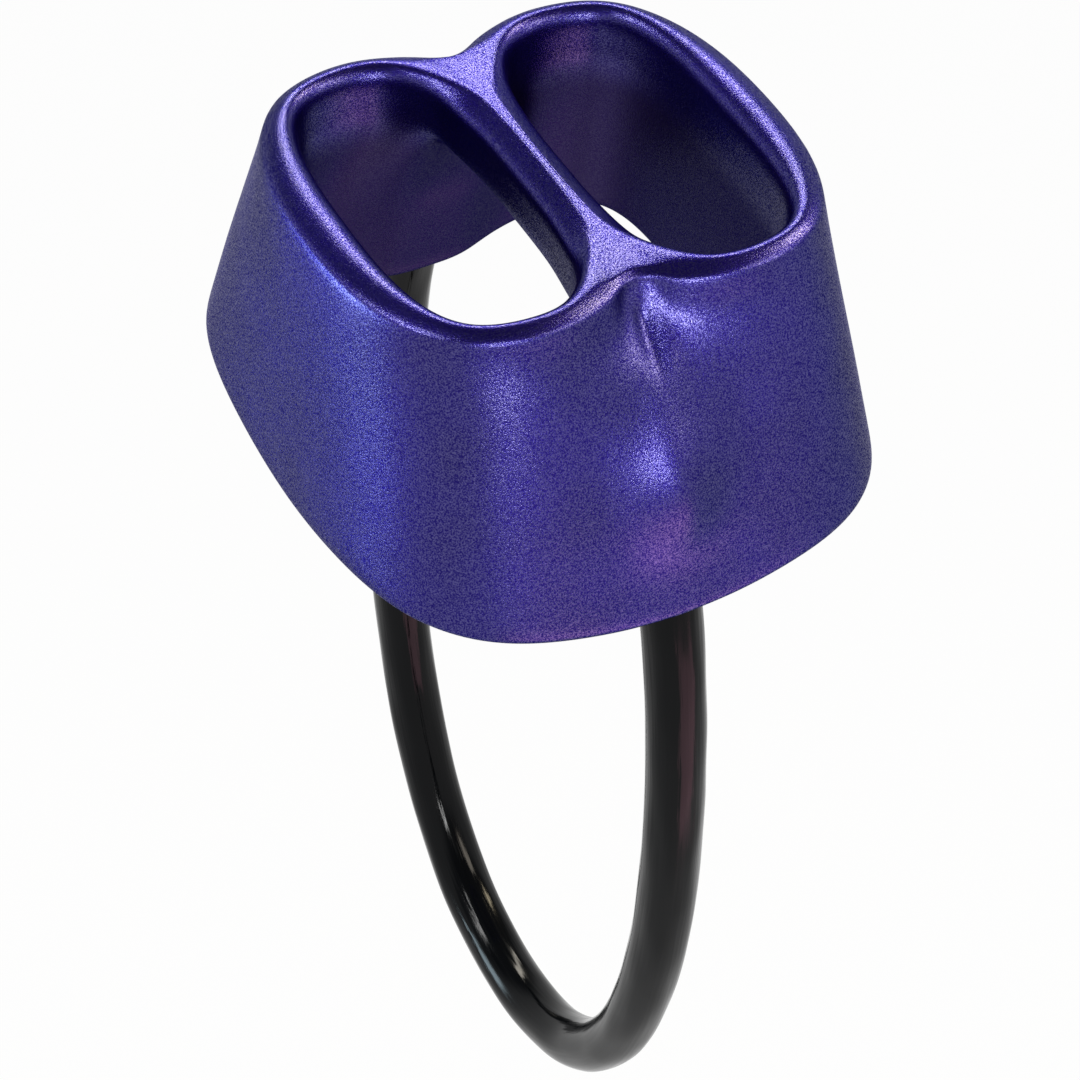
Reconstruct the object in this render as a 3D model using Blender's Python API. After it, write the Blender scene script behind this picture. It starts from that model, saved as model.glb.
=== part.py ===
"""Tube belay device: a forged alloy tube with two rope slots, and a wire keeper loop.

Frame: +Z is the tube's axis, rope slots uppermost. X runs across the two slots,
Y runs along the rib between them, and -Y is the front. The origin is the middle
of the rib's underside, where the carabiner bears. Lengths are in metres.
"""
import math

import bmesh
import bpy
import numpy as np

for old_object in list(bpy.data.objects):
    bpy.data.objects.remove(old_object, do_unlink=True)

MM = 0.001

# Rope slots: two rounded openings side by side, with a rib between them
slot_width = 15.9 * MM
slot_length = 35.0 * MM
slot_power = 3.1            # 2 is an ellipse, more is squarer
neck_depth = 6.3 * MM       # straight throat below the rim's crest

# Rib: the bar between the slots, which the carabiner bears on
rib_width = 4.8 * MM
rib_depth = 6.8 * MM        # rib's underside up to the rim's crest
rib_dip = 0.2 * MM          # rib's top below the rim's crest
rib_crown = 2.0 * MM        # width of each rounded shoulder along the rib's top
rib_shoulder = 0.75 * MM     # and its drop
rib_corner = 0.35 * MM      # rounding along the rib's lower edges

# Rim: a rolled lip round the slots, waisted where the rib meets it
lip_side = 4.7 * MM         # lip beside a slot
lip_end = 3.0 * MM          # lip past a slot's end
lip_lap = 0.75 * MM         # how far a lobe's curve passes its slot towards the rib
lobe_power = 2.45
notch_depth = 3.1 * MM      # waist behind the lobes' ends
notch_crest = 1.75 * MM     # waist's outer edge in to the top of the lip there
notch_power = 1.7           # 1 is a sharp notch, more is rounder
shoulder_drop = 1.9 * MM    # crest down to where the outer wall starts

# Skirt: the flared wall under the rim
skirt_half_x = 25.7 * MM
skirt_half_y = 29.3 * MM
skirt_power = 3.86
skirt_depth = 29.3 * MM     # rim's crest down to the edge at the sides
end_drop = 0.6 * MM         # the edge hangs lower under the rib's ends
corner_lift = 2.5 * MM      # and rises at the four corners
skirt_wall = 5.4 * MM
edge_round = 0.9 * MM
flare = 0.25                # how much the wall steepens towards the edge
inner_flare = 0.35

# Arch under each rib end: where the underside starts to fall, and the ridge
# that it falls into, in from the slots' ends and down from the underside
arch_inset = 3.0 * MM
arch_fall = 1.3 * MM
ridge_inset = 0.2 * MM
ridge_fall = 4.5 * MM

# Bosses: thickened wall at the rib's ends, swollen outward round the swaged wire
boss_wall = 0.65 * MM       # metal left outside the socket at its mouth
boss_backing = 1.2 * MM     # and inside it
boss_flat = 4.0 * MM        # half width at full thickness
boss_fade = 6.5 * MM
bump_height = 1.9 * MM
bump_half_width = 4.0 * MM
bump_half_height = 5.5 * MM
bump_drop = 17.5 * MM       # rim's crest down to the middle of the swelling
pinch_depth = 0.7 * MM
pinch_half_width = 2.6 * MM
pinch_half_height = 3.4 * MM
pinch_drop = 6.0 * MM

# Keeper: steel wire rope in a plastic jacket, its ends swaged into the body
wire_radius = 1.5 * MM
jacket_radius = 2.85 * MM
sleeve_radius = 2.3 * MM
sleeve_length = 11.0 * MM
sleeve_inset = 1.0 * MM     # mouth of the socket up to the sleeve
clearance = 0.3 * MM
leg_lean = math.radians(15)
loop_drop = 84.7 * MM       # leg's mouth down to the loop's lowest centre line
leg_reach = 34.0 * MM       # how far a leg keeps its direction before it curves
loop_roundness = 29.3 * MM  # more is a fuller, squarer loop

# Mesh counts
lobe_columns = 15
rib_stations = 7
jacket_sides = 14
wire_sides = 8
loop_steps = 22
socket_sides = 24
sleeve_sides = 16

# Section of the lip, from the foot of the throat over the crest to the skirt's
# top: share of the lip's width, and share of the drop on that side of the crest
LIP_INSIDE = ((0.00, 1.00), (0.00, 0.59), (0.01, 0.27), (0.15, 0.08))
LIP_OUTSIDE = ((0.40, 0.00), (0.66, 0.13), (0.90, 0.42), (1.00, 1.00))
CREST_ROW = len(LIP_INSIDE)

# Rows of the skirt as shares of its height: outside going down, inside going up
OUTER_SHARES = (0.13, 0.30, 0.48, 0.66, 0.84)
INNER_SHARES = (0.86, 0.64, 0.42, 0.20)

LOBE_END_ANGLE = math.radians(114)      # slot's polar angle where the rib's end begins
LOBE_TURN = 0.944                       # lip's polar angle as a share of its slot's
RIB_SHARE = 0.64                        # how far along its slots the rib keeps its section

ACROSS = np.array([1.0, 0.0, 0.0])
ALONG = np.array([0.0, 1.0, 0.0])

# Derived places
crest_z = rib_depth
slot_half_width = slot_width / 2
slot_half_length = slot_length / 2
slot_x = rib_width / 2 + slot_half_width
lobe_half_width = slot_half_width + lip_side + lip_lap
lobe_half_length = slot_half_length + lip_end
lobe_x = slot_x + slot_half_width + lip_side - lobe_half_width
notch_y = lobe_half_length - notch_depth
side_edge_z = crest_z - skirt_depth
end_edge_z = side_edge_z - end_drop
arch_y = slot_half_length - arch_inset
ridge_y = slot_half_length - ridge_inset
socket_radius = sleeve_radius + clearance
socket_depth = sleeve_inset + sleeve_length + clearance
leg_y = skirt_half_y - boss_wall - socket_radius
boss_thickness = boss_wall + 2 * socket_radius + boss_backing
wire_bore = wire_radius + clearance


def rounded_point(half_x, half_y, power, angle):
    """Point of a rounded rectangle, at a polar angle about its centre."""
    across, along = math.cos(angle), math.sin(angle)
    reach = abs(across / half_x) ** power + abs(along / half_y) ** power
    reach = reach ** (-1 / power)
    return np.array([reach * across, reach * along])


def rounded_y(half_x, half_y, power, x):
    """Half length of a rounded rectangle, x from its centre."""
    return half_y * (1 - abs(x / half_x) ** power) ** (1 / power)


def even_angles(half_x, half_y, power, last_angle, count):
    """Polar angles from -last_angle to +last_angle, evenly spread along the curve."""
    angles = np.linspace(-last_angle, last_angle, 400)
    points = np.array([rounded_point(half_x, half_y, power, a) for a in angles])
    steps = np.linalg.norm(np.diff(points, axis=0), axis=1)
    run = np.concatenate([[0.0], np.cumsum(steps)])
    return np.interp(np.linspace(0, run[-1], count), run, angles)


def smooth(value):
    """0 to 1, easing in and out."""
    value = min(max(value, 0.0), 1.0)
    return value * value * (3 - 2 * value)


def hill(value, half_width):
    """Bell curve, 1 at 0."""
    return math.exp(-(value / half_width) ** 2)


def edge_z(x, y):
    """Height of the skirt's lower edge round its outline."""
    angle = math.atan2(y, x)
    drop = end_drop * (1 - math.cos(2 * angle)) / 2
    lift = corner_lift * (1 - math.cos(4 * angle)) / 2
    return side_edge_z - drop + lift


def material(name, colour, metallic, roughness):
    made = bpy.data.materials.new(name)
    made.use_nodes = True
    shader = made.node_tree.nodes["Principled BSDF"]
    shader.inputs["Base Color"].default_value = (*colour, 1.0)
    shader.inputs["Metallic"].default_value = metallic
    shader.inputs["Roughness"].default_value = roughness
    return made


anodised = material("anodised_aluminium", (0.09, 0.05, 0.36), 1.0, 0.38)
jacket_vinyl = material("jacket_vinyl", (0.012, 0.013, 0.016), 0.0, 0.18)
wire_steel = material("galvanised_steel", (0.55, 0.56, 0.58), 1.0, 0.4)
sleeve_alloy = material("sleeve_aluminium", (0.75, 0.76, 0.78), 1.0, 0.35)


def add_object(name, points, faces, finish):
    """Object from corner points and faces, shaded smooth, faces turned outward."""
    mesh = bpy.data.meshes.new(name)
    mesh.from_pydata([tuple(p) for p in points], [], faces)
    work = bmesh.new()
    work.from_mesh(mesh)
    bmesh.ops.recalc_face_normals(work, faces=work.faces)
    work.to_mesh(mesh)
    work.free()
    mesh.materials.append(finish)
    mesh.shade_smooth()
    made = bpy.data.objects.new(name, mesh)
    bpy.context.collection.objects.link(made)
    return made


# Columns of the body's cage run from the rim's throat over the lip, down the
# skirt, round its edge and up inside. The waist columns, at the rib's ends, have
# no throat of their own.
slot_angles = even_angles(slot_half_width, slot_half_length, slot_power, LOBE_END_ANGLE, lobe_columns)
lobe_start = np.abs(
    rounded_point(lobe_half_width, lobe_half_length, lobe_power, slot_angles[-1] * LOBE_TURN)
    + (lobe_x, 0))
skirt_start_x = 2 * boss_flat
skirt_start_y = rounded_y(skirt_half_x, skirt_half_y, skirt_power, skirt_start_x)
skirt_angles = even_angles(
    skirt_half_x, skirt_half_y, skirt_power, math.atan2(skirt_start_y, skirt_start_x), lobe_columns)


def outer_wall(top, edge, low_z):
    """Points down the outside of the skirt, with the boss's swelling and pinch."""
    points = []
    top_z = crest_z - shoulder_drop
    for share in OUTER_SHARES:
        x, y = top + (edge - top) * (share * (1 + flare) - flare * share * share)
        z = top_z + (low_z + edge_round - top_z) * share
        down = crest_z - z
        swell = bump_height * hill(x, bump_half_width) * hill(down - bump_drop, bump_half_height)
        pinch = pinch_depth * hill(x, pinch_half_width) * hill(down - pinch_drop, pinch_half_height)
        points.append((x, y + math.copysign(swell - pinch, y), z))
    return points


def lower_edge(edge, inward, thickness, low_z):
    """Four points round the skirt's lower edge, from outside to inside."""
    inner = edge + inward * thickness
    outer_flat = edge + inward * edge_round
    inner_flat = edge + inward * (thickness - edge_round)
    return [(*edge, low_z + edge_round), (*outer_flat, low_z),
            (*inner_flat, low_z), (*inner, low_z + edge_round)]


def skirt_inward(edge):
    """Direction square to the skirt's outline, pointing in."""
    slope_x = abs(edge[0] / skirt_half_x) ** (skirt_power - 1) / skirt_half_x
    slope_y = abs(edge[1] / skirt_half_y) ** (skirt_power - 1) / skirt_half_y
    out = np.array([math.copysign(slope_x, edge[0]), math.copysign(slope_y, edge[1])])
    return -out / np.linalg.norm(out)


def wall_thickness(x):
    """Skirt wall, thickened to the boss near the rib's ends."""
    boss = 1 - smooth((abs(x) - boss_flat) / boss_fade)
    return skirt_wall + (boss_thickness - skirt_wall) * boss


def lobe_column(throat, top, edge):
    """Closed profile of one column beside a slot, starting at the throat's foot."""
    lip = [(share, -neck_depth * drop) for share, drop in LIP_INSIDE]
    lip += [(share, -shoulder_drop * drop) for share, drop in LIP_OUTSIDE]
    points = [(*(throat + (top - throat) * share), crest_z + z) for share, z in lip]
    low_z = edge_z(*edge)
    points += outer_wall(top, edge, low_z)
    inward = skirt_inward(edge)
    thickness = wall_thickness(edge[0])
    points += lower_edge(edge, inward, thickness, low_z)
    foot = edge + inward * thickness
    foot_z = low_z + edge_round
    neck_z = crest_z - neck_depth
    for share in INNER_SHARES:
        run = share * (1 + inner_flare) - inner_flare * share * share
        points.append((*(throat + (foot - throat) * run), neck_z + (foot_z - neck_z) * share))
    return points


def waist_column(x_top, x_edge, side):
    """Profile of one column at a rib end. The rib's own sections fill its empty rows."""
    rise = (lobe_start[1] - notch_y) * abs(x_top / lobe_start[0]) ** notch_power
    top = np.array([x_top, side * (notch_y + rise)])
    edge = np.array([x_edge, side * rounded_y(skirt_half_x, skirt_half_y, skirt_power, x_edge)])
    points = [(x_top, side * arch_y, -arch_fall)] + [None] * (CREST_ROW - 1)
    crest_share = LIP_OUTSIDE[0][0]
    for share, drop in LIP_OUTSIDE:
        inset = notch_crest * (1 - share) / (1 - crest_share)
        height = crest_z - shoulder_drop * drop - rib_dip * inset / notch_crest
        points.append((*(top - side * inset * ALONG[:2]), height))
    low_z = edge_z(*edge)
    points += outer_wall(top, edge, low_z)
    inward = -side * ALONG[:2]
    thickness = wall_thickness(x_edge)
    points += lower_edge(edge, inward, thickness, low_z)
    foot = edge + inward * thickness
    foot_z = low_z + edge_round
    ridge = np.array([x_top, side * ridge_y])
    for share in INNER_SHARES:
        points.append((*(ridge + (foot - ridge) * share), -ridge_fall + (foot_z + ridge_fall) * share))
    return points


def body_columns():
    """All columns in order round the body, anticlockwise from the front middle."""
    right = []
    for slot_angle, skirt_angle in zip(slot_angles, skirt_angles):
        throat = rounded_point(slot_half_width, slot_half_length, slot_power, slot_angle)
        top = rounded_point(lobe_half_width, lobe_half_length, lobe_power, slot_angle * LOBE_TURN)
        edge = rounded_point(skirt_half_x, skirt_half_y, skirt_power, skirt_angle)
        right.append(lobe_column(throat + (slot_x, 0), top + (lobe_x, 0), edge))
    half_top = lobe_start[0] / 2
    front = [waist_column(x * half_top, x * boss_flat, -1) for x in (-1, 0, 1)]
    back = [waist_column(x * half_top, x * boss_flat, 1) for x in (1, 0, -1)]
    left = [[(-x, y, z) for x, y, z in column] for column in reversed(right)]
    return front[1:] + right + back + left + front[:1]


def rib_section(y):
    """Points round the rib at one place along it, in the order of rib_end."""
    half = slot_x - rounded_y(slot_half_length, slot_half_width, slot_power, y)
    wall = [crest_z - neck_depth * drop for share, drop in LIP_INSIDE[1:3]]
    top_z = crest_z - rib_dip
    crown = half - rib_crown
    right = [(half, z) for z in (rib_corner, *wall)]
    right += [(half - rib_crown / 2, crest_z - rib_shoulder), (crown, top_z)]
    left = [(-x, z) for x, z in reversed(right)]
    top = [(x * crown, top_z) for x in (0.5, 0, -0.5)]
    under = [(x * half, 0.0) for x in (-0.5, 0, 0.5)]
    return [(x, y, z) for x, z in right + top + left + under]


def rib_end(near, middle, far):
    """Cage corners round a rib end: up one lobe column, over the waist, and down the other."""
    up = [(near, row) for row in range(CREST_ROW + 1)]
    over = [(column, CREST_ROW) for column in middle]
    down = [(far, row) for row in range(CREST_ROW, -1, -1)]
    under = [(column, 0) for column in reversed(middle)]
    return up + over + down + under


def body_cage():
    """Corner points and quads of the body's cage."""
    columns = body_columns()
    count, rows = len(columns), len(columns[0])
    points, index = [], {}
    for c, column in enumerate(columns):
        for r, point in enumerate(column):
            if point is not None:
                index[c, r] = len(points)
                points.append(point)
    last = lobe_columns + 1
    ends = ((2, 1, 0, count - 1, count - 2), tuple(range(last, last + 5)))
    faces = []
    for c in range(count):
        after = (c + 1) % count
        for r in range(rows):
            below = (r + 1) % rows
            in_rib = r < CREST_ROW and any(c in end and after in end for end in ends)
            if not in_rib:
                faces.append([index[c, r], index[after, r], index[after, below], index[c, below]])
    front, back = [
        [index[key] for key in rib_end(near, middle, far)] for near, *middle, far in ends]
    loops = [front]
    reach = slot_half_length * RIB_SHARE
    for y in np.linspace(-reach, reach, rib_stations):
        section = rib_section(y)
        loops.append(list(range(len(points), len(points) + len(section))))
        points += section
    loops.append(back)
    for near, far in zip(loops, loops[1:]):
        for i in range(len(near)):
            j = (i + 1) % len(near)
            faces.append([near[i], near[j], far[j], far[i]])
    return np.array(points), faces


def fit_cage(points, faces, rounds=4):
    """Moves the cage until its smooth surface passes through the given points.

    A corner's place on the smooth surface is a weighted mean of itself, its
    edge neighbours and the far corners of its quads.
    """
    edge_sum = np.zeros((len(points), len(points)), dtype=np.float32)
    far_sum = np.zeros_like(edge_sum)
    for face in faces:
        for i, corner in enumerate(face):
            edge_sum[corner, face[(i + 1) % 4]] = 1
            edge_sum[corner, face[(i - 1) % 4]] = 1
            far_sum[corner, face[(i + 2) % 4]] = 1
    valence = edge_sum.sum(axis=1, keepdims=True)
    weight = valence * (valence + 5)
    cage = points.copy()
    for _ in range(rounds):
        on_surface = (valence ** 2 * cage + 4 * edge_sum @ cage + far_sum @ cage) / weight
        cage += points - on_surface
    return cage


def ring(centre, radius, along, sides):
    """Corner points of a circle about a centre, square to a direction in the YZ plane."""
    normal = np.array([0.0, -along[2], along[1]])
    turns = [2 * math.pi * step / sides for step in range(sides)]
    return [centre + radius * (math.cos(a) * ACROSS + math.sin(a) * normal) for a in turns]


def skin(ring_starts, sides):
    """Quads that join each ring of points to the next."""
    faces = []
    for near, far in zip(ring_starts, ring_starts[1:]):
        for step in range(sides):
            after = (step + 1) % sides
            faces.append([near + step, near + after, far + after, far + step])
    return faces


def mouth(side):
    """Centre of a leg's mouth in the boss's underside, and the way up its socket."""
    centre = np.array([0.0, side * leg_y, end_edge_z])
    up = np.array([0.0, -side * math.sin(leg_lean), math.cos(leg_lean)])
    return centre, up


def keeper_path(top_inset):
    """Centre line of the keeper, each end running straight up its socket by top_inset."""
    start, up = mouth(1)
    lowest = np.array([0.0, 0.0, end_edge_z - loop_drop])
    handles = start, start - up * leg_reach, lowest + loop_roundness * ALONG, lowest
    rear = [start + up * top_inset] if top_inset else []
    for t in np.linspace(0, 1, loop_steps + 1):
        weights = (1 - t) ** 3, 3 * (1 - t) ** 2 * t, 3 * (1 - t) * t ** 2, t ** 3
        rear.append(sum(w * h for w, h in zip(weights, handles)))
    return rear + [point * (1, -1, 1) for point in reversed(rear[:-1])]


def tube(path, radius, sides):
    """Rings of points along a path in the YZ plane."""
    points = []
    for i, centre in enumerate(path):
        along = path[min(i + 1, len(path) - 1)] - path[max(i - 1, 0)]
        points += ring(centre, radius, along / np.linalg.norm(along), sides)
    return points


def trim_flush(points, sides, height):
    """Slides a tube's end rings along their legs until they lie at one height."""
    for side, start in ((1, 0), (-1, len(points) - sides)):
        up = mouth(side)[1]
        for i in range(start, start + sides):
            points[i] = points[i] + up * (height - points[i][2]) / up[2]


def belay_body():
    points, faces = body_cage()
    made = add_object("belay_body", fit_cage(points, faces), faces, anodised)
    rounding = made.modifiers.new("rounding", "SUBSURF")
    rounding.levels = 1
    rounding.render_levels = 1
    for name, side in (("rear", 1), ("front", -1)):
        drilling = made.modifiers.new("socket_" + name, "BOOLEAN")
        drilling.operation = "DIFFERENCE"
        drilling.solver = "EXACT"
        drilling.object = socket_drill("socket_drill_" + name, side)


def socket_drill(name, side):
    """Cutter for the blind hole that holds one end of the wire."""
    centre, up = mouth(side)
    points = []
    for height in (-2 * sleeve_radius, socket_depth):
        points += ring(centre + up * height, socket_radius, up, socket_sides)
    faces = skin([0, socket_sides], socket_sides)
    faces += [list(range(socket_sides)), list(range(socket_sides, 2 * socket_sides))]
    made = add_object(name, points, faces, anodised)
    made.hide_render = True
    made.display_type = "WIRE"
    return made


def swage_sleeve(name, side):
    """Metal sleeve pressed on to the wire's end, inside its socket."""
    centre, up = mouth(side)
    low, high = sleeve_inset, sleeve_inset + sleeve_length
    points = []
    for radius, height in ((sleeve_radius, low), (sleeve_radius, high), (wire_bore, high), (wire_bore, low)):
        points += ring(centre + up * height, radius, up, sleeve_sides)
    starts = [sleeve_sides * i for i in (0, 1, 2, 3, 0)]
    add_object(name, points, skin(starts, sleeve_sides), sleeve_alloy)


def keeper_jacket():
    """Plastic jacket over the whole loop, trimmed flush under each boss."""
    path = keeper_path(0)
    outside = tube(path, jacket_radius, jacket_sides)
    inside = tube(path, wire_bore, jacket_sides)
    for wall in (outside, inside):
        trim_flush(wall, jacket_sides, end_edge_z - clearance)
    count = len(outside)
    out_rings = list(range(0, count, jacket_sides))
    in_rings = [count + start for start in out_rings]
    faces = skin(out_rings + in_rings[::-1] + out_rings[:1], jacket_sides)
    add_object("keeper_jacket", outside + inside, faces, jacket_vinyl)


def keeper_wire():
    """Wire rope core, ending inside the sleeves."""
    points = tube(keeper_path(socket_depth - 2 * clearance), wire_radius, wire_sides)
    faces = skin(list(range(0, len(points), wire_sides)), wire_sides)
    faces += [list(range(wire_sides)), list(range(len(points) - wire_sides, len(points)))]
    add_object("keeper_wire", points, faces, wire_steel)


belay_body()
swage_sleeve("swage_sleeve_front", -1)
swage_sleeve("swage_sleeve_rear", 1)
keeper_jacket()
keeper_wire()
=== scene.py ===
"""Tube belay device, as it looks: a violet anodised forging and a black keeper loop.

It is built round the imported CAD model, in the same frame and in metres: +Z up the
tube's axis, X across the two rope slots, Y along the rib, -Y the front.
"""
import math

import bmesh
import bpy
import numpy as np
from mathutils import Matrix, Vector, noise


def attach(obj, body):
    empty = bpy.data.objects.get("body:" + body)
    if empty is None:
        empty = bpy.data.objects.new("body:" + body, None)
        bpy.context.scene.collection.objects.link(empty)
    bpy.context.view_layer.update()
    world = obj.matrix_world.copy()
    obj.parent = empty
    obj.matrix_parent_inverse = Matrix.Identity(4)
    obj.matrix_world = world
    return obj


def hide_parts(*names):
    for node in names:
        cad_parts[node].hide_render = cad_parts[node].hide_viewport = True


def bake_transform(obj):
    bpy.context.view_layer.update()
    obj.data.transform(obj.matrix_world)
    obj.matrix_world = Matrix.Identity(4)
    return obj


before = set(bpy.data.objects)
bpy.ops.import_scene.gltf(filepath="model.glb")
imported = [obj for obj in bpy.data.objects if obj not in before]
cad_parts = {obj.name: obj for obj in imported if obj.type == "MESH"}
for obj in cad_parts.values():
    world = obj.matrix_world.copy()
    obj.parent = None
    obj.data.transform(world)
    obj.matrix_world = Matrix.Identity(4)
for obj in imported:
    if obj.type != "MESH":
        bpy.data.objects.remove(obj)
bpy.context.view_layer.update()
MM = 0.001

# Camera
# Stands in front of the device, to its left and above it, and looks down into both
# rope slots. Its lens has no shift.
camera_place = Vector((-111.936, -202.402, 189.405)) * MM
camera_turn = math.radians(-29.235)
camera_dip = math.radians(44.765)
camera_roll = math.radians(2.134)
camera_lens = 112.795

bpy.ops.object.camera_add(location=(0, 0, 0))
camera = bpy.context.active_object
camera.name = "camera"
camera.data.lens = camera_lens
camera.data.sensor_width = 36
camera.data.clip_start = 0.01
camera.data.clip_end = 20
camera.matrix_world = (
    Matrix.Translation(camera_place)
    @ Matrix.Rotation(camera_turn, 4, "Z")
    @ Matrix.Rotation(math.pi / 2 - camera_dip, 4, "X")
    @ Matrix.Rotation(camera_roll, 4, "Z"))
bpy.context.scene.camera = camera


# Forged tube
# One aluminium forging: two rope slots with a rib between them, a rolled rim and a
# flared skirt, swollen at the rib's ends where the keeper's wire is swaged in. It is
# tumbled, which leaves a fine orange-peel skin, and then anodised violet.
weld = 0.001 * MM
quad_fold = math.radians(60)
quad_skew = math.radians(70)
socket_lean = math.radians(15)
socket_y = 26.05 * MM
socket_z = -23.1 * MM
socket_radius = 2.6 * MM
socket_slack = 0.08 * MM
socket_step = 3 * MM


def select_only(piece):
    bpy.ops.object.select_all(action="DESELECT")
    piece.select_set(True)
    bpy.context.view_layer.objects.active = piece


def corner_array(piece):
    corners = np.zeros(len(piece.data.vertices) * 3, np.float32)
    piece.data.vertices.foreach_get("co", corners)
    return corners.reshape(-1, 3).astype(float)


def normal_array(piece):
    normals = np.zeros(len(piece.data.vertices) * 3, np.float32)
    piece.data.vertices.foreach_get("normal", normals)
    return normals.reshape(-1, 3).astype(float)


# The solid's own facets, turned to quads, which the subdivision then rounds off
tube = bpy.data.objects.new("forged_tube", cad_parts["belay_body"].data.copy())
bpy.context.scene.collection.objects.link(tube)
select_only(tube)
bpy.ops.object.mode_set(mode="EDIT")
bpy.ops.mesh.select_all(action="SELECT")
bpy.ops.mesh.remove_doubles(threshold=weld)
bpy.ops.mesh.tris_convert_to_quads(face_threshold=quad_fold, shape_threshold=quad_skew)
bpy.ops.object.mode_set(mode="OBJECT")

# The sockets' edges stay sharp through the smoothing
places = corner_array(tube)
side = np.sign(places[:, 1])
up = np.stack([
    0 * side, -side * math.sin(socket_lean), 0 * side + math.cos(socket_lean)], axis=1)
from_mouth = places - np.stack([0 * side, side * socket_y, 0 * side + socket_z], axis=1)
along = (from_mouth * up).sum(axis=1)
from_axis = np.linalg.norm(from_mouth - along[:, None] * up, axis=1)
on_socket = abs(from_axis - socket_radius) < socket_slack
crease = tube.data.attributes.new("crease_edge", "FLOAT", "EDGE")
for edge in tube.data.edges:
    a, b = edge.vertices
    crease.data[edge.index].value = float(
        on_socket[a] and on_socket[b] and abs(along[a] - along[b]) < socket_step)

smoothing = tube.modifiers.new("smoothing", "SUBSURF")
smoothing.levels = smoothing.render_levels = 2
select_only(tube)
bpy.ops.object.modifier_apply(modifier=smoothing.name)

# Detail that the solid leaves out. Under each end of the rib a sharp crease runs down
# a shallow valley from the waist and dies out on a nose with a soft ridge. A faint
# hollow runs under the lip on both sides of it.
outer_tilt, outer_fade = 0.15, 0.3
outer_reach, reach_fade = 15 * MM, 1.5 * MM
crease_top, crease_top_fade = 5.0 * MM, 3 * MM
crease_foot, crease_foot_fade = -2.5 * MM, 4 * MM
crease_half_width = 0.8 * MM
crease_depth = 0.75 * MM
valley_middle = -0.5 * MM
valley_half_height = 3.2 * MM
valley_half_width = 3.6 * MM
valley_fill = 0.85 * MM
nose_top = 2.5 * MM
nose_full = -6.0 * MM
nose_foot = -19.0 * MM
nose_half_width = 6.0 * MM
nose_height = 1.6 * MM
nose_round = 1.0 * MM
hollow_middle = 2.8 * MM
hollow_half_height = 1.8 * MM
hollow_half_width = 9.0 * MM
hollow_from_rib = 4 * MM
hollow_depth = 0.25 * MM
rubbed_half_width = 8 * MM
rubbed_foot = -14 * MM
rubbed_passes = 8


def ease(values):
    """0 below 0, 1 above 1, and smooth between them."""
    values = np.clip(values, 0, 1)
    return values * values * (3 - 2 * values)


def bell(values, half_width):
    return np.exp(-(values / half_width) ** 2)


places = corner_array(tube)
normals = normal_array(tube)
side = np.sign(places[:, 1])
x, y, z = abs(places[:, 0]), abs(places[:, 1]), places[:, 2]
outside = ease((normals[:, 1] * side - outer_tilt) / outer_fade)
outside *= ease((y - outer_reach) / reach_fade)
push = -crease_depth * bell(x, crease_half_width)
push *= ease((crease_top - z) / crease_top_fade) * ease((z - crease_foot) / crease_foot_fade)
nose = np.clip(1 - (np.hypot(x, nose_round) - nose_round) / nose_half_width, 0, 1)
nose *= ease((nose_top - z) / (nose_top - nose_full))
nose *= ease((z - nose_foot) / (nose_full - nose_foot))
push += nose_height * nose
push += (valley_fill * bell(x, valley_half_width)
         * bell(z - valley_middle, valley_half_height))
push -= (hollow_depth * bell(z - hollow_middle, hollow_half_height)
         * bell(x - hollow_from_rib, hollow_half_width))
places[:, 1] += side * push * outside
tube.data.vertices.foreach_set("co", places.astype(np.float32).ravel())

# The tumbling rubs the nose and the valley smooth
rubbed = (outside > 0.5) & (x < rubbed_half_width) & (z > rubbed_foot) & (z < nose_top)
skin = bmesh.new()
skin.from_mesh(tube.data)
skin.verts.ensure_lookup_table()
rubbed_corners = [skin.verts[i] for i in np.flatnonzero(rubbed)]
for _ in range(rubbed_passes):
    bmesh.ops.smooth_vert(skin, verts=rubbed_corners, factor=0.5,
                          use_axis_x=True, use_axis_y=True, use_axis_z=True)
skin.to_mesh(tube.data)
skin.free()
tube.data.update()

# Marks the inner walls below the rim, which get painted shade: a darker, greyer colour and less
# clear coat
inner_top, inner_fade = 4 * MM, 7 * MM
inner_tilt = 0.5
from_middle = places[:, :2] / np.maximum(np.linalg.norm(places[:, :2], axis=1), 1 * MM)[:, None]
facing_in = -(normals[:, :2] * from_middle).sum(axis=1)
inner_shade = ease(facing_in / inner_tilt) * ease((inner_top - z) / inner_fade)
inner = tube.data.attributes.new("inner_wall_shade", "FLOAT", "POINT")
inner.data.foreach_set("value", inner_shade.astype(np.float32))
select_only(tube)
bpy.ops.object.shade_smooth_by_angle(angle=math.radians(45))


def srgb(code):
    """Linear colour with alpha, from a hex code as a paint program shows it."""
    channels = [int(code[i:i + 2], 16) / 255 for i in (1, 3, 5)]
    linear = [c / 12.92 if c <= 0.04045 else ((c + 0.055) / 1.055) ** 2.4 for c in channels]
    return (*linear, 1.0)


def node(tree, kind, links=(), **settings):
    """Adds a node. Settings are its own properties, or values for its input sockets."""
    made = tree.nodes.new(kind)
    for name, value in settings.items():
        if hasattr(made, name):
            setattr(made, name, value)
    for name, value in settings.items():
        if not hasattr(made, name):
            made.inputs[name.replace("_", " ")].default_value = value
    for name, source in links:
        tree.links.new(source, made.inputs[name])
    return made


def finish(name):
    """A new material, its node tree and its shader."""
    made = bpy.data.materials.new(name)
    made.use_nodes = True
    return made, made.node_tree, made.node_tree.nodes["Principled BSDF"]
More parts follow.
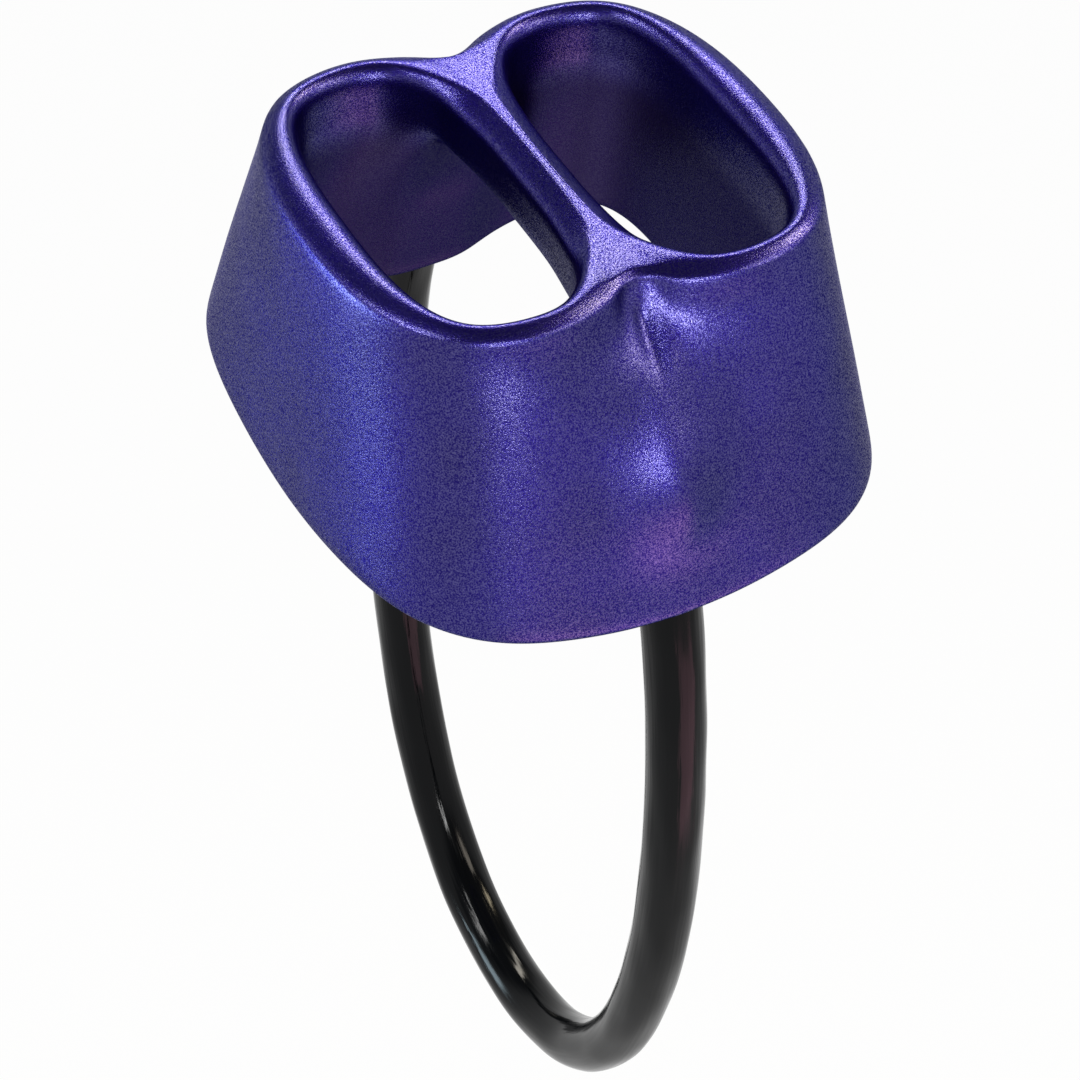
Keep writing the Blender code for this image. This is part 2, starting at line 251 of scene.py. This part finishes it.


# Violet anodised aluminium: dyed oxide over bare metal, so it mirrors softly in its
# own colour under a clear skin that mirrors white. Tumbling leaves wrinkles and pits
# too fine to show here, so they are drawn coarser, the wrinkles about 0.25 mm apart.
# The colour is darker between the wrinkles and lighter on their tops, partly dye pooling and
# partly painted shade and painted glints for the light the wrinkles would catch. Their tops are
# also smoother and carry more clear coat.
# Each size is a cell of the noise, about half the way from one mark to the next.
wrinkle = 0.14 * MM
pit = 0.08 * MM
blotch = 9.0 * MM
wrinkle_height = 0.025 * MM
pit_height = 0.008 * MM
anodised, tree, shader = finish("anodised_aluminium_violet")
where = node(tree, "ShaderNodeTexCoord").outputs["Object"]
shader.inputs["Metallic"].default_value = 1.0
shader.inputs["Specular Tint"].default_value = srgb("#4238A4")
shader.inputs["Coat Roughness"].default_value = 0.22
shader.inputs["Coat IOR"].default_value = 2.2
cloudy = node(tree, "ShaderNodeTexNoise", [("Vector", where)], Scale=1 / blotch, Detail=2.0)
dye = node(tree, "ShaderNodeValToRGB", [("Fac", cloudy.outputs["Fac"])])
dye.color_ramp.elements[0].position = 0.35
dye.color_ramp.elements[0].color = srgb("#1A0E66")
dye.color_ramp.elements[1].position = 0.65
dye.color_ramp.elements[1].color = srgb("#1F1272")
wrinkles = node(tree, "ShaderNodeTexNoise", [("Vector", where)],
                Scale=1 / wrinkle, Detail=2.0, Roughness=0.6)
pits = node(tree, "ShaderNodeTexNoise", [("Vector", where)], Scale=1 / pit, Detail=1.0)
# Partly dye pooling, partly painted shade and painted glints: the dye is darker between the
# wrinkles and lighter on their tops.
pooled_dye_and_shade = node(tree, "ShaderNodeMapRange", [("Value", wrinkles.outputs["Fac"])],
              From_Min=0.36, From_Max=0.66, To_Min=0.76, To_Max=1.2)
grained = node(tree, "ShaderNodeVectorMath", [("Vector", dye.outputs["Color"])],
               operation="SCALE")
tree.links.new(pooled_dye_and_shade.outputs["Result"], grained.inputs["Scale"])
# Painted shade: the inner walls below the rim take a dark greyish violet in place of the dye,
# and less clear coat.
inner_wall_shade = node(tree, "ShaderNodeAttribute", attribute_name="inner_wall_shade").outputs["Fac"]
polished = node(tree, "ShaderNodeMapRange", [("Value", wrinkles.outputs["Fac"])],
                From_Min=0.42, From_Max=0.62, To_Min=0.04, To_Max=0.48)
coat_inside = node(tree, "ShaderNodeMapRange", [("Value", inner_wall_shade)], To_Min=1.0, To_Max=0.25)
clear = node(tree, "ShaderNodeMath", operation="MULTIPLY")
tree.links.new(polished.outputs["Result"], clear.inputs[0])
tree.links.new(coat_inside.outputs["Result"], clear.inputs[1])
tree.links.new(clear.outputs["Value"], shader.inputs["Coat Weight"])
# Painted shade on the inner walls: #33294F in place of the dye.
shaded_inside = node(tree, "ShaderNodeMix", [("Factor", inner_wall_shade)], data_type="RGBA")
tree.links.new(grained.outputs["Vector"], shaded_inside.inputs["A"])
shaded_inside.inputs["B"].default_value = srgb("#33294F")
tree.links.new(shaded_inside.outputs["Result"], shader.inputs["Base Color"])
worn = node(tree, "ShaderNodeMapRange", [("Value", wrinkles.outputs["Fac"])],
            From_Min=0.36, From_Max=0.66, To_Min=0.42, To_Max=0.30)
tree.links.new(worn.outputs["Result"], shader.inputs["Roughness"])
coarse = node(tree, "ShaderNodeBump", [("Height", wrinkles.outputs["Fac"])],
              Strength=1.0, Distance=wrinkle_height)
fine = node(tree, "ShaderNodeBump",
            [("Height", pits.outputs["Fac"]), ("Normal", coarse.outputs["Normal"])],
            Strength=1.0, Distance=pit_height)
tree.links.new(fine.outputs["Normal"], shader.inputs["Normal"])
tree.links.new(fine.outputs["Normal"], shader.inputs["Coat Normal"])
tube.data.materials.clear()
tube.data.materials.append(anodised)
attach(tube, "body")
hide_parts("belay_body")


# Swaged sleeves
# Plain aluminium sleeves pressed on to the wire's ends and sunk in the bosses. They
# are drawn tube, with faint lines round them from the die.
die_line = 0.5 * MM
die_line_height = 0.01 * MM
wave_period = math.pi / 10  # of the wave texture, at a scale of 1
pressed, tree, shader = finish("drawn_aluminium")
where = node(tree, "ShaderNodeTexCoord").outputs["Object"]
shader.inputs["Base Color"].default_value = srgb("#D6D8DC")
shader.inputs["Metallic"].default_value = 1.0
rings = node(tree, "ShaderNodeTexWave", [("Vector", where)], bands_direction="Z",
             Scale=wave_period / die_line, Distortion=1.5, Detail=2.0)
tone = node(tree, "ShaderNodeMapRange", [("Value", rings.outputs["Fac"])],
            To_Min=0.28, To_Max=0.42)
tree.links.new(tone.outputs["Result"], shader.inputs["Roughness"])
lines = node(tree, "ShaderNodeBump", [("Height", rings.outputs["Fac"])],
             Strength=0.5, Distance=die_line_height)
tree.links.new(lines.outputs["Normal"], shader.inputs["Normal"])
for name in ("swage_sleeve_front", "swage_sleeve_rear"):
    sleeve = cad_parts[name]
    sleeve.data.materials.clear()
    sleeve.data.materials.append(pressed)


# Keeper wire
# A galvanised wire rope, six strands laid round a core. Its ends run up into the sleeves.
strand_count = 6
strand_radius = 0.5 * MM
strand_lay = 18 * MM
strand_points = 6
wire_rings = 150
wire_grip = 11.7 * MM
end_handle = 4 * MM
half_loop = 103 * MM  # a little more than the true half, so the lay is a little tighter
leg_top = Vector((0, socket_y, socket_z))
leg_up = Vector((0, -math.sin(socket_lean), math.cos(socket_lean)))
leg_reach = 34 * MM
loop_lowest = Vector((0, 0, socket_z - 84.7 * MM))
loop_half_turn = Vector((0, 29.3 * MM, 0))


def front(point):
    """The same point on the front leg."""
    return Vector((point.x, -point.y, point.z))


def loop_curve(name, knots, rings):
    """Curve through knots, each a point with the handles before and after it."""
    bpy.ops.object.select_all(action="DESELECT")
    bpy.ops.curve.primitive_bezier_curve_add(location=(0, 0, 0))
    made = bpy.context.active_object
    made.name = name
    made.data.splines.clear()
    line = made.data.splines.new("BEZIER")
    line.bezier_points.add(len(knots) - 1)
    for spot, (point, before, after) in zip(line.bezier_points, knots):
        spot.handle_left_type = spot.handle_right_type = "FREE"
        spot.co, spot.handle_left, spot.handle_right = point, before, after
    made.data.dimensions = "3D"
    made.data.resolution_u = rings
    made.data.use_fill_caps = True
    return made


# Cross-section of the rope: six round strands, each touching the next
profile_points = strand_count * strand_points
bpy.ops.object.select_all(action="DESELECT")
bpy.ops.curve.primitive_bezier_circle_add(location=(0, 0, 0))
rope_profile = bpy.context.active_object
rope_profile.data.splines.clear()
outline = rope_profile.data.splines.new("POLY")
outline.points.add(profile_points - 1)
for step, spot in enumerate(outline.points):
    turn = 2 * math.pi * step / profile_points
    from_strand = (step % strand_points) * 2 * math.pi / profile_points
    from_strand = min(from_strand, 2 * math.pi / strand_count - from_strand)
    reach = 2 * strand_radius * math.cos(from_strand)
    reach += math.sqrt(max(
        strand_radius ** 2 - (2 * strand_radius * math.sin(from_strand)) ** 2, 0))
    spot.co = (reach * math.cos(turn), reach * math.sin(turn), 0, 1)
outline.use_cyclic_u = True
rope_profile.data.dimensions = "2D"
rope_profile.data.fill_mode = "NONE"

rear_end = leg_top + leg_up * wire_grip
rear_knot = (leg_top, leg_top + leg_up * end_handle, leg_top - leg_up * leg_reach)
lowest_knot = (loop_lowest, loop_lowest + loop_half_turn, loop_lowest - loop_half_turn)
wire = loop_curve("wire_rope", [
    (rear_end, rear_end, rear_end - leg_up * end_handle),
    rear_knot,
    lowest_knot,
    tuple(front(rear_knot[i]) for i in (0, 2, 1)),
    (front(rear_end), front(rear_end) - front(leg_up) * end_handle, front(rear_end)),
], wire_rings)
wire.data.bevel_mode = "OBJECT"
wire.data.bevel_object = rope_profile
run = 0.0
for knot, length in zip(wire.data.splines[0].bezier_points,
                        (0, wire_grip, half_loop, half_loop, wire_grip)):
    run += length
    knot.tilt = 2 * math.pi * run / strand_lay
select_only(wire)
bpy.ops.object.convert(target="MESH")
wire = bpy.context.active_object
bpy.data.objects.remove(rope_profile, do_unlink=True)
select_only(wire)
bpy.ops.object.shade_smooth_by_angle(angle=math.radians(60))

# Galvanised steel: dull grey zinc on bright wire, duller in patches
spangle = 1.2 * MM
galvanised, tree, shader = finish("galvanised_steel_wire")
where = node(tree, "ShaderNodeTexCoord").outputs["Object"]
shader.inputs["Metallic"].default_value = 1.0
patches = node(tree, "ShaderNodeTexNoise", [("Vector", where)], Scale=1 / spangle, Detail=3.0)
zinc = node(tree, "ShaderNodeValToRGB", [("Fac", patches.outputs["Fac"])])
zinc.color_ramp.elements[0].position = 0.35
zinc.color_ramp.elements[0].color = srgb("#85888C")
zinc.color_ramp.elements[1].position = 0.65
zinc.color_ramp.elements[1].color = srgb("#B9BCC0")
tree.links.new(zinc.outputs["Color"], shader.inputs["Base Color"])
dull = node(tree, "ShaderNodeMapRange", [("Value", patches.outputs["Fac"])],
            To_Min=0.5, To_Max=0.25)
tree.links.new(dull.outputs["Result"], shader.inputs["Roughness"])
wire.data.materials.clear()
wire.data.materials.append(galvanised)
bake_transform(wire)
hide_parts("keeper_wire")


# Keeper jacket
# Black plastic extruded over the wire rope, glossy and slightly wavy where the
# strands and the die show through. It stops at the bosses, which hide its ends.
jacket_radius = 2.85 * MM
jacket_sides = 64
jacket_rings = 240
jacket_tuck = 0.3 * MM
ripple = 0.10 * MM
ripple_along = 7.0 * MM
ripple_round = 1.6 * MM

jacket_top = leg_top + leg_up * jacket_tuck
jacket_handle = jacket_top - leg_up * (leg_reach + jacket_tuck)
jacket_knots = [
    (jacket_top, jacket_top, jacket_handle),
    lowest_knot,
    (front(jacket_top), front(jacket_handle), front(jacket_top))]
jacket = loop_curve("jacket", jacket_knots, jacket_rings)
jacket.data.bevel_depth = jacket_radius
jacket.data.bevel_resolution = (jacket_sides - 4) // 2
select_only(jacket)
bpy.ops.object.convert(target="MESH")
jacket = bpy.context.active_object

# Each corner keeps its place on the straight extrusion, for the waves and the finish
centres = []
for i in range(2 * jacket_rings + 1):
    t = i / jacket_rings
    first, second = jacket_knots[:2] if t <= 1 else jacket_knots[1:]
    t = t if t <= 1 else t - 1
    handles = first[0], first[2], second[1], second[0]
    weights = (1 - t) ** 3, 3 * (1 - t) ** 2 * t, 3 * (1 - t) * t ** 2, t ** 3
    centres.append(sum((w * h for w, h in zip(weights, handles)), Vector()))
centres = np.array(centres)
lengths = np.concatenate([[0], np.cumsum(np.linalg.norm(np.diff(centres, axis=0), axis=1))])
tangents = np.gradient(centres, axis=0)
tangents /= np.linalg.norm(tangents, axis=1)[:, None]
places = corner_array(jacket)
nearest = np.array([np.argmin(((centres - p) ** 2).sum(axis=1)) for p in places])
offset = places - centres[nearest]
ahead = (offset * tangents[nearest]).sum(axis=1)
length = lengths[nearest] + ahead
offset -= ahead[:, None] * tangents[nearest]
sideways = offset[:, 0]
square = np.stack([0 * sideways, -tangents[nearest][:, 2], tangents[nearest][:, 1]], axis=1)
outward = (offset * square).sum(axis=1)
straight = np.stack([sideways, outward, length], axis=1)
wave = np.array([
    noise.noise(Vector((p[0] / ripple_round, p[1] / ripple_round, p[2] / ripple_along)))
    for p in straight])
offset /= np.maximum(np.linalg.norm(offset, axis=1), 1e-9)[:, None]
places += offset * (ripple * wave)[:, None]
jacket.data.vertices.foreach_set("co", places.astype(np.float32).ravel())
extrusion = jacket.data.attributes.new("extrusion", "FLOAT_VECTOR", "POINT")
extrusion.data.foreach_set("vector", straight.astype(np.float32).ravel())
jacket.data.update()
select_only(jacket)
bpy.ops.object.shade_smooth_by_angle(angle=math.radians(60))

# Black extruded vinyl: a wet-looking gloss whose streaks run along the loop
streak = 0.35 * MM
streak_length = 9.0 * MM
streak_height = 0.03 * MM
vinyl, tree, shader = finish("black_vinyl_extruded")
where = node(tree, "ShaderNodeAttribute", attribute_name="extrusion").outputs["Vector"]
shader.inputs["Base Color"].default_value = srgb("#050608")
shader.inputs["IOR"].default_value = 1.35
shader.inputs["Specular IOR Level"].default_value = 0.2
drawn = node(tree, "ShaderNodeMapping", [("Vector", where)],
             Scale=(1 / streak, 1 / streak, 1 / streak_length))
streaks = node(tree, "ShaderNodeTexNoise", [("Vector", drawn.outputs["Vector"])],
               Scale=1.0, Detail=3.0)
sheen = node(tree, "ShaderNodeMapRange", [("Value", streaks.outputs["Fac"])],
             From_Min=0.3, From_Max=0.7, To_Min=0.06, To_Max=0.2)
tree.links.new(sheen.outputs["Result"], shader.inputs["Roughness"])
draw = node(tree, "ShaderNodeBump", [("Height", streaks.outputs["Fac"])],
            Strength=1.0, Distance=streak_height)
tree.links.new(draw.outputs["Normal"], shader.inputs["Normal"])
jacket.data.materials.clear()
jacket.data.materials.append(vinyl)
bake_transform(jacket)
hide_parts("keeper_jacket")


# Floor
# A plain white studio floor well below the device, which in use hangs on a carabiner.
# The camera and the mirrors see it nearly white, and the small rest is its own paper,
# which takes the device's shadow.
floor_z = -0.62
floor_side = 12
floor_glow = 0.97


def ray_kinds(tree, *kinds):
    """1 for rays of these kinds, and 0 for all others."""
    path = node(tree, "ShaderNodeLightPath")
    total = path.outputs[kinds[0]]
    for kind in kinds[1:]:
        added = node(tree, "ShaderNodeMath", operation="ADD", use_clamp=True)
        tree.links.new(total, added.inputs[0])
        tree.links.new(path.outputs[kind], added.inputs[1])
        total = added.outputs[0]
    return total


bpy.ops.object.select_all(action="DESELECT")
bpy.ops.mesh.primitive_plane_add(size=floor_side, location=(0, 0, floor_z))
floor = bpy.context.active_object
floor.name = "floor"
paper, tree, shader = finish("white_paper")
shader.inputs["Base Color"].default_value = srgb("#FCFCFC")
shader.inputs["Roughness"].default_value = 0.9
share = node(tree, "ShaderNodeMath", operation="MULTIPLY")
tree.links.new(ray_kinds(tree, "Is Camera Ray", "Is Glossy Ray", "Is Transmission Ray"),
               share.inputs[0])
share.inputs[1].default_value = floor_glow
glow = node(tree, "ShaderNodeEmission", Color=(1, 1, 1, 1), Strength=1.0)
blended = node(tree, "ShaderNodeMixShader", [("Fac", share.outputs[0])])
tree.links.new(shader.outputs["BSDF"], blended.inputs[1])
tree.links.new(glow.outputs["Emission"], blended.inputs[2])
tree.links.new(blended.outputs["Shader"], tree.nodes["Material Output"].inputs["Surface"])
floor.data.materials.append(paper)


# Studio light
# Soft boxes all round. Those behind, on the left and on the right are above the rim,
# which mirrors them as bright lines round a dark crest. The one low in front lights
# the nose under the notch, a cool one lights the left wall, and a dim pink one the skirt.
aim = Vector((0, 0, -10 * MM))
lamp_distance = 0.5


def soft_box(name, direction, size, radiance, colour):
    """Area lamp that faces the device. Radiance is how bright its face looks."""
    bpy.ops.object.light_add(
        type="AREA", location=aim + Vector(direction).normalized() * lamp_distance)
    lamp = bpy.context.active_object
    lamp.name = name
    lamp.data.shape = "RECTANGLE"
    lamp.data.size, lamp.data.size_y = size
    lamp.data.energy = radiance * math.pi * size[0] * size[1]
    lamp.data.color = srgb(colour)[:3]
    lamp.rotation_euler = (lamp.location - aim).to_track_quat("Z", "Y").to_euler()


soft_box("back_box", (0.33, 0.70, 0.63), (0.30, 0.08), 26, "#FFF8EA")
soft_box("right_box", (0.78, -0.10, 0.62), (0.10, 0.14), 34, "#FFEFCC")
soft_box("front_box", (0.56, -0.64, 0.52), (0.20, 0.12), 12, "#FFF4E4")
soft_box("low_front_box", (-0.18, -0.92, 0.30), (0.08, 0.12), 36, "#FFFFFF")
soft_box("left_top_box", (-0.76, 0.04, 0.65), (0.28, 0.04), 34, "#FFFFFF")
soft_box("left_box", (-0.88, 0.45, -0.16), (0.16, 0.16), 16, "#D8F2FF")
soft_box("warm_box", (0.14, -0.80, -0.58), (0.34, 0.20), 2.4, "#FFB0C8")

# White room: plain white to the camera. Mirrors see its walls white and its ceiling
# dark, and it sheds only a little light of its own.
room_light = 0.15
ceiling_tone = 0.12
wall_top, ceiling_edge = 0.25, 0.60
world = bpy.data.worlds.new("white_room")
bpy.context.scene.world = world
world.use_nodes = True
tree = world.node_tree
room = tree.nodes["Background"]
room.inputs["Color"].default_value = (1, 1, 1, 1)
heading = node(tree, "ShaderNodeSeparateXYZ")
tree.links.new(node(tree, "ShaderNodeTexCoord").outputs["Generated"], heading.inputs["Vector"])
ceiling = node(tree, "ShaderNodeMapRange", [("Value", heading.outputs["Z"])],
               interpolation_type="SMOOTHSTEP",
               From_Min=wall_top, From_Max=ceiling_edge, To_Min=1.0, To_Max=ceiling_tone)
mirrored = ray_kinds(tree, "Is Glossy Ray", "Is Transmission Ray")
level = node(tree, "ShaderNodeMix", [("Factor", mirrored)], data_type="FLOAT")
level.inputs["A"].default_value = room_light
tree.links.new(ceiling.outputs["Result"], level.inputs["B"])
backdrop = node(tree, "ShaderNodeMix", [("Factor", ray_kinds(tree, "Is Camera Ray"))],
                data_type="FLOAT")
tree.links.new(level.outputs["Result"], backdrop.inputs["A"])
backdrop.inputs["B"].default_value = 1.0
tree.links.new(backdrop.outputs["Result"], room.inputs["Strength"])

bpy.context.scene.view_settings.view_transform = "Standard"
